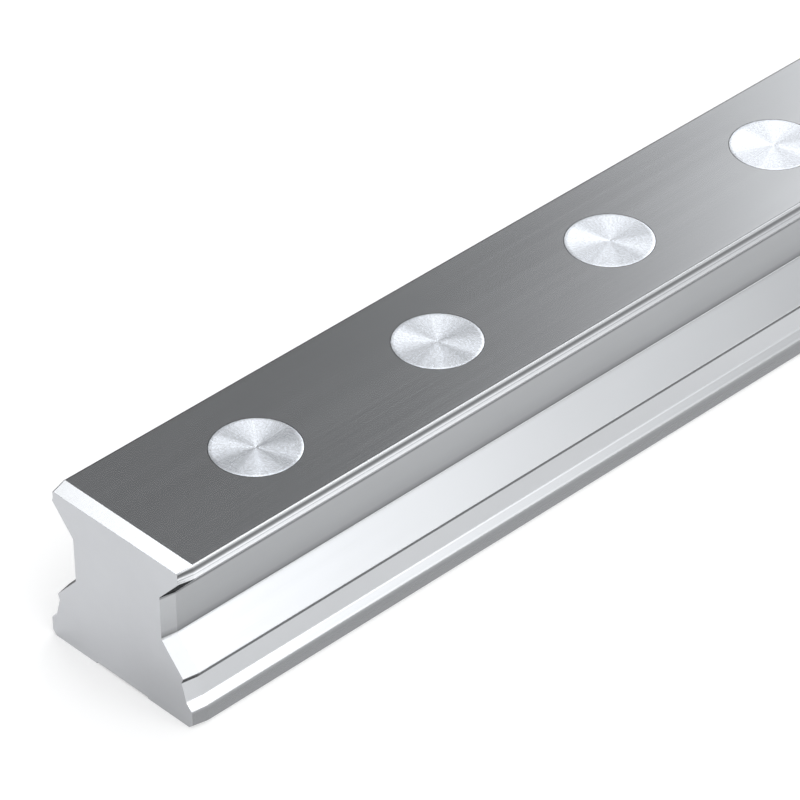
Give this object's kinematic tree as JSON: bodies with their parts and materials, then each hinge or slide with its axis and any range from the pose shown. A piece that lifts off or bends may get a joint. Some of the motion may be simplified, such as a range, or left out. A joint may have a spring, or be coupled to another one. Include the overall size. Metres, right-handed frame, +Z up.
{
  "type": "roller guide rail",
  "caption": "Straight ground steel rail for a roller carriage, with four raceways on a waisted section, a row of counterbored mounting holes and flush steel plugs.",
  "frame": {"origin": "middle of the underside, on the plane that the rail is bolted down on", "axes": "+Y along the rail, +Z up from the underside to the plugged top face, +X across the rail"},
  "size_m": [0.045, 0.656, 0.04],
  "materials": {
    "ground_rail_steel": "satin",
    "turned_plug_steel": "satin"
  },
  "bodies": {
    "root": {"guide_rail": "ground_rail_steel", "hole_plug_01": "turned_plug_steel", "hole_plug_02": "turned_plug_steel", "hole_plug_03": "turned_plug_steel", "hole_plug_04": "turned_plug_steel", "hole_plug_05": "turned_plug_steel", "hole_plug_06": "turned_plug_steel", "hole_plug_07": "turned_plug_steel", "hole_plug_08": "turned_plug_steel", "hole_plug_09": "turned_plug_steel", "hole_plug_10": "turned_plug_steel", "hole_plug_11": "turned_plug_steel", "hole_plug_12": "turned_plug_steel"}
  },
  "joints": []
}
